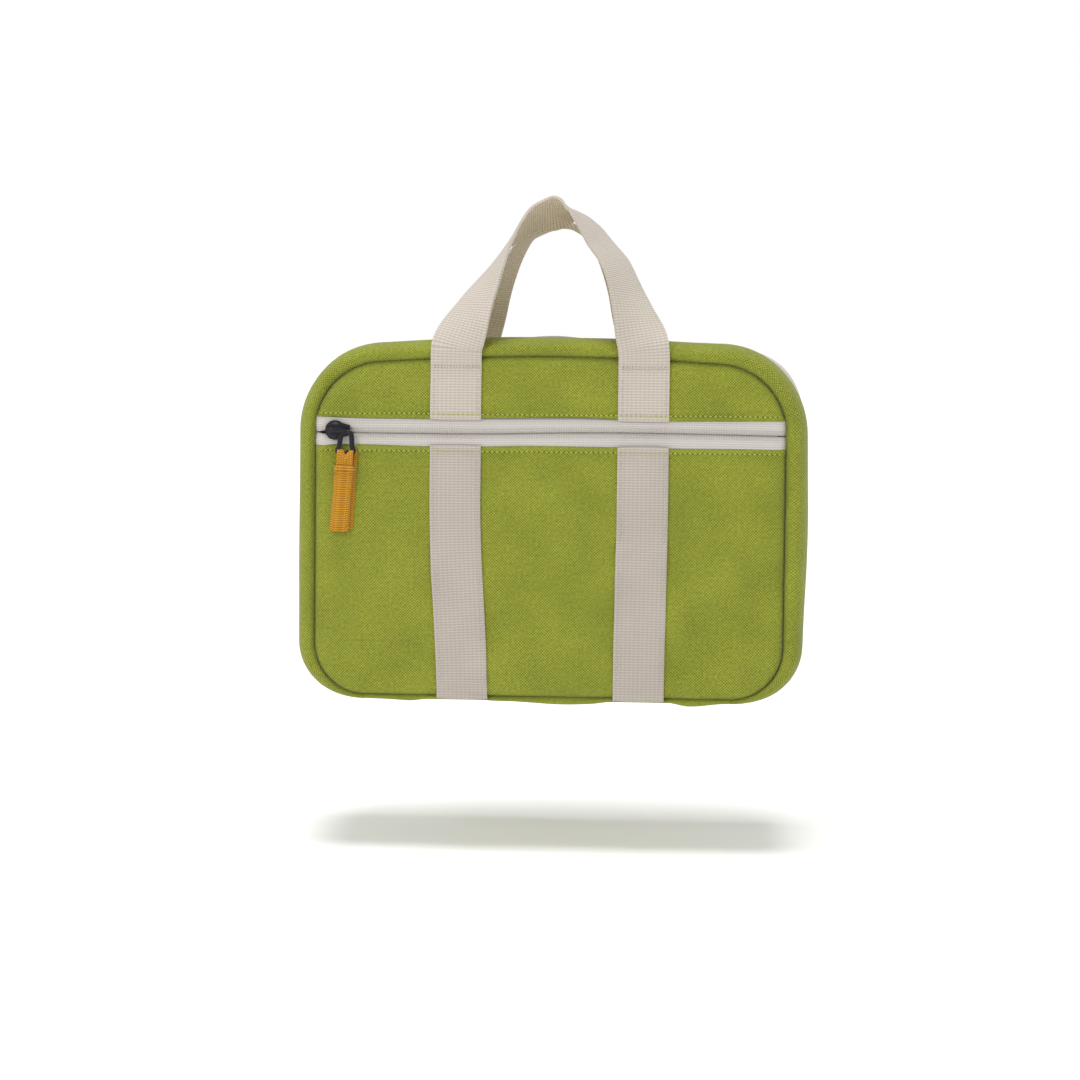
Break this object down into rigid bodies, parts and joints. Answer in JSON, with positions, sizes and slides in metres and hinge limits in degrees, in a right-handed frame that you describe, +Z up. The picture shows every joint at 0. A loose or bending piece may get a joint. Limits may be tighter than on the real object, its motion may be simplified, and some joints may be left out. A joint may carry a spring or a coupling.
{
  "type": "zip wash bag",
  "caption": "Green woven-fabric wash bag with cream webbing handles, a zipped front pocket and a main zip round the gusset.",
  "frame": {"origin": "bottom centre of the whole part's box, on the surface the bag stands on", "axes": "+Z up, -Y the front with the zipped pocket, +X to the right seen from the front"},
  "size_m": [0.2538, 0.0968, 0.2503],
  "materials": {
    "green_fabric": "coarse plain weave, matt",
    "cream_webbing": "ribbed webbing, matt",
    "zip_tape": "fine herringbone tape, matt",
    "lining": "smooth coated lining",
    "foam": "closed-cell foam",
    "board": "sheet",
    "orange_webbing": "ribbed webbing, matt",
    "dark_metal": "semi-gloss coating"
  },
  "bodies": {
    "shell": {"back_panel": "green_fabric", "rear_gusset": "green_fabric", "base_panel": "green_fabric", "main_zip_end_left": "green_fabric", "main_zip_end_right": "green_fabric", "rear_foam": "foam", "base_board": "board", "rear_lining": "lining", "base_lining": "lining", "rear_gusset_lining": "lining", "rear_seam_binding": "lining", "main_zip_tape_rear": "zip_tape", "main_zip_coil_rear": "zip_tape", "rear_strap_left": "cream_webbing", "rear_strap_right": "cream_webbing", "base_strap_left": "cream_webbing", "base_strap_right": "cream_webbing"},
    "front_flap": {"front_panel_upper": "green_fabric", "front_panel_lower": "green_fabric", "front_gusset": "green_fabric", "front_foam": "foam", "front_lining": "lining", "front_gusset_lining": "lining", "front_seam_binding": "lining", "pocket_lining": "lining", "main_zip_tape_front": "zip_tape", "main_zip_coil_front": "zip_tape", "pocket_zip_tape_upper": "zip_tape", "pocket_zip_tape_lower": "zip_tape", "pocket_zip_coil_upper": "zip_tape", "pocket_zip_coil_lower": "zip_tape", "pocket_zip_stop_left": "dark_metal", "pocket_zip_stop_right": "dark_metal", "front_strap_upper_left": "cream_webbing", "front_strap_upper_right": "cream_webbing", "front_strap_lower_left": "cream_webbing", "front_strap_lower_right": "cream_webbing"},
    "front_handle_body": {"front_handle": "cream_webbing"},
    "rear_handle_body": {"rear_handle": "cream_webbing"},
    "pocket_slider": {"pocket_slider_body": "dark_metal"},
    "pocket_link": {"pocket_pull_link": "dark_metal"},
    "pocket_tab": {"pocket_pull_tab": "orange_webbing"},
    "main_slider": {"main_slider_body": "dark_metal"},
    "main_link": {"main_pull_link": "dark_metal"},
    "main_tab": {"main_pull_tab": "orange_webbing"}
  },
  "joints": [
    {"name": "flap_hinge", "type": "hinge", "parent": "shell", "child": "front_flap", "pos_m": [0.0019, -0.0452, 0.0018], "axis": [1, 0, 0], "range_deg": [0, 75]},
    {"name": "front_handle_hinge", "type": "hinge", "parent": "front_flap", "child": "front_handle_body", "pos_m": [0.0019, -0.0452, 0.16485], "axis": [1, 0, 0], "range_deg": [0, 160]},
    {"name": "rear_handle_hinge", "type": "hinge", "parent": "shell", "child": "rear_handle_body", "pos_m": [0.0019, 0.0484, 0.16485], "axis": [-1, 0, 0], "range_deg": [0, 160]},
    {"name": "pocket_slider_slide", "type": "slide", "parent": "front_flap", "child": "pocket_slider", "axis": [1, 0, 0], "range_m": [0, 0.208]},
    {"name": "pocket_link_hinge", "type": "hinge", "parent": "pocket_slider", "child": "pocket_link", "pos_m": [-0.1022, -0.0466, 0.132], "axis": [-1, 0, 0], "range_deg": [0, 110]},
    {"name": "pocket_tab_hinge", "type": "hinge", "parent": "pocket_link", "child": "pocket_tab", "pos_m": [-0.1022, -0.0466, 0.122], "axis": [-1, 0, 0], "range_deg": [0, 65]},
    {"name": "main_slider_slide", "type": "slide", "parent": "shell", "child": "main_slider", "axis": [0, 0, 1], "range_m": [0, 0.06]},
    {"name": "main_link_hinge", "type": "hinge", "parent": "main_slider", "child": "main_link", "pos_m": [-0.12509, 0.0116, 0.062], "axis": [0, 1, 0], "range_deg": [0, 110]},
    {"name": "main_tab_hinge", "type": "hinge", "parent": "main_link", "child": "main_tab", "pos_m": [-0.12509, 0.0116, 0.052], "axis": [0, 1, 0], "range_deg": [0, 65]}
  ]
}
